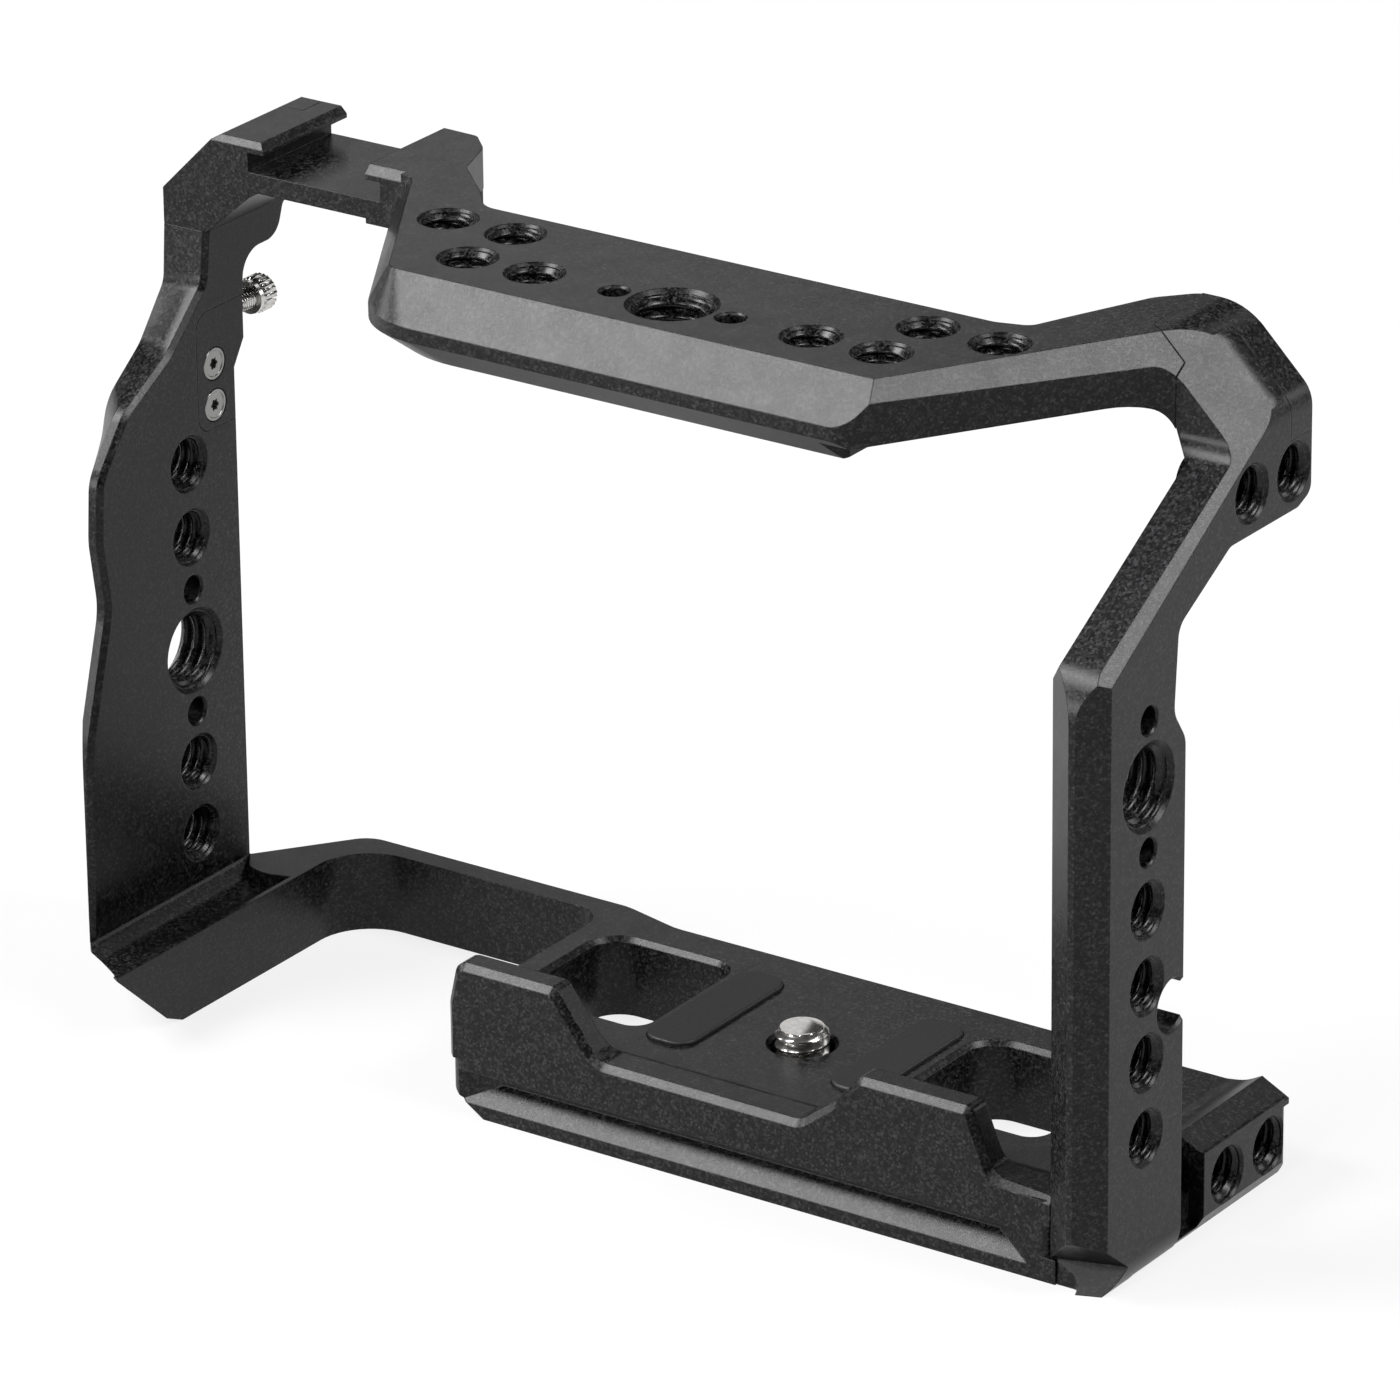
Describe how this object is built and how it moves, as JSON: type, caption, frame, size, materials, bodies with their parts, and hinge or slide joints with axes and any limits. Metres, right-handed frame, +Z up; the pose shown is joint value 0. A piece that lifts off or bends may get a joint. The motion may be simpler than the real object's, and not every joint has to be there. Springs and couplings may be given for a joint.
{
  "type": "camera cage",
  "caption": "Open metal frame that surrounds a camera body, with threaded accessory holes, a cold shoe, a strap lug clamp and a camera screw in its dovetail base.",
  "frame": {"origin": "on the camera screw's axis, level with the face the camera rests on", "axes": "+X to the right seen from the front, +Y towards the back of the camera, +Z up along the camera screw"},
  "size_m": [0.1442, 0.0488, 0.1018],
  "materials": {
    "anodised": "fine sand-blasted, black anodised",
    "nickel": "nickel plated steel",
    "spring_steel": "dark phosphated spring steel",
    "black_steel": "black oxide steel",
    "rubber": "matte black rubber"
  },
  "bodies": {
    "cage": {"base_plate": "anodised", "left_side_plate": "anodised", "top_plate": "anodised", "right_column": "anodised", "lug_clamp_insert": "anodised", "insert_screw_upper": "nickel", "insert_screw_lower": "nickel", "retaining_ring": "spring_steel", "pad_left": "rubber", "pad_right": "rubber", "foot_screw_rear": "black_steel", "foot_screw_front": "black_steel", "column_screw": "black_steel", "head_screw_outer": "black_steel", "head_screw_inner": "black_steel", "corner_screw_outer": "black_steel", "corner_screw_inner": "black_steel"},
    "screw_carrier": {"camera_screw_washer": "nickel"},
    "screw": {"camera_screw": "nickel"},
    "lock_carrier": {"lock_washer": "nickel"},
    "lock": {"lock_screw": "nickel"}
  },
  "joints": [
    {"name": "camera_screw_slide", "type": "slide", "parent": "cage", "child": "screw_carrier", "axis": [0, 0, 1], "range_m": [0, 0.0023]},
    {"name": "camera_screw_spin", "type": "hinge", "parent": "screw_carrier", "child": "screw", "pos_m": [0, 0, 0], "axis": [0, 0, 1], "continuous": true},
    {"name": "lock_screw_travel", "type": "slide", "parent": "cage", "child": "lock_carrier", "axis": [0, 1, 0], "range_m": [-0.003, 0.0012]},
    {"name": "lock_screw_turn", "type": "hinge", "parent": "lock_carrier", "child": "lock", "pos_m": [-0.0862, 0.0142, 0.0682], "axis": [0, 1, 0], "range_deg": [-2400, 960]}
  ],
  "couplings": [
    {"joint": "lock_screw_turn", "follows": "lock_screw_travel", "rad_per_m": 13963}
  ]
}
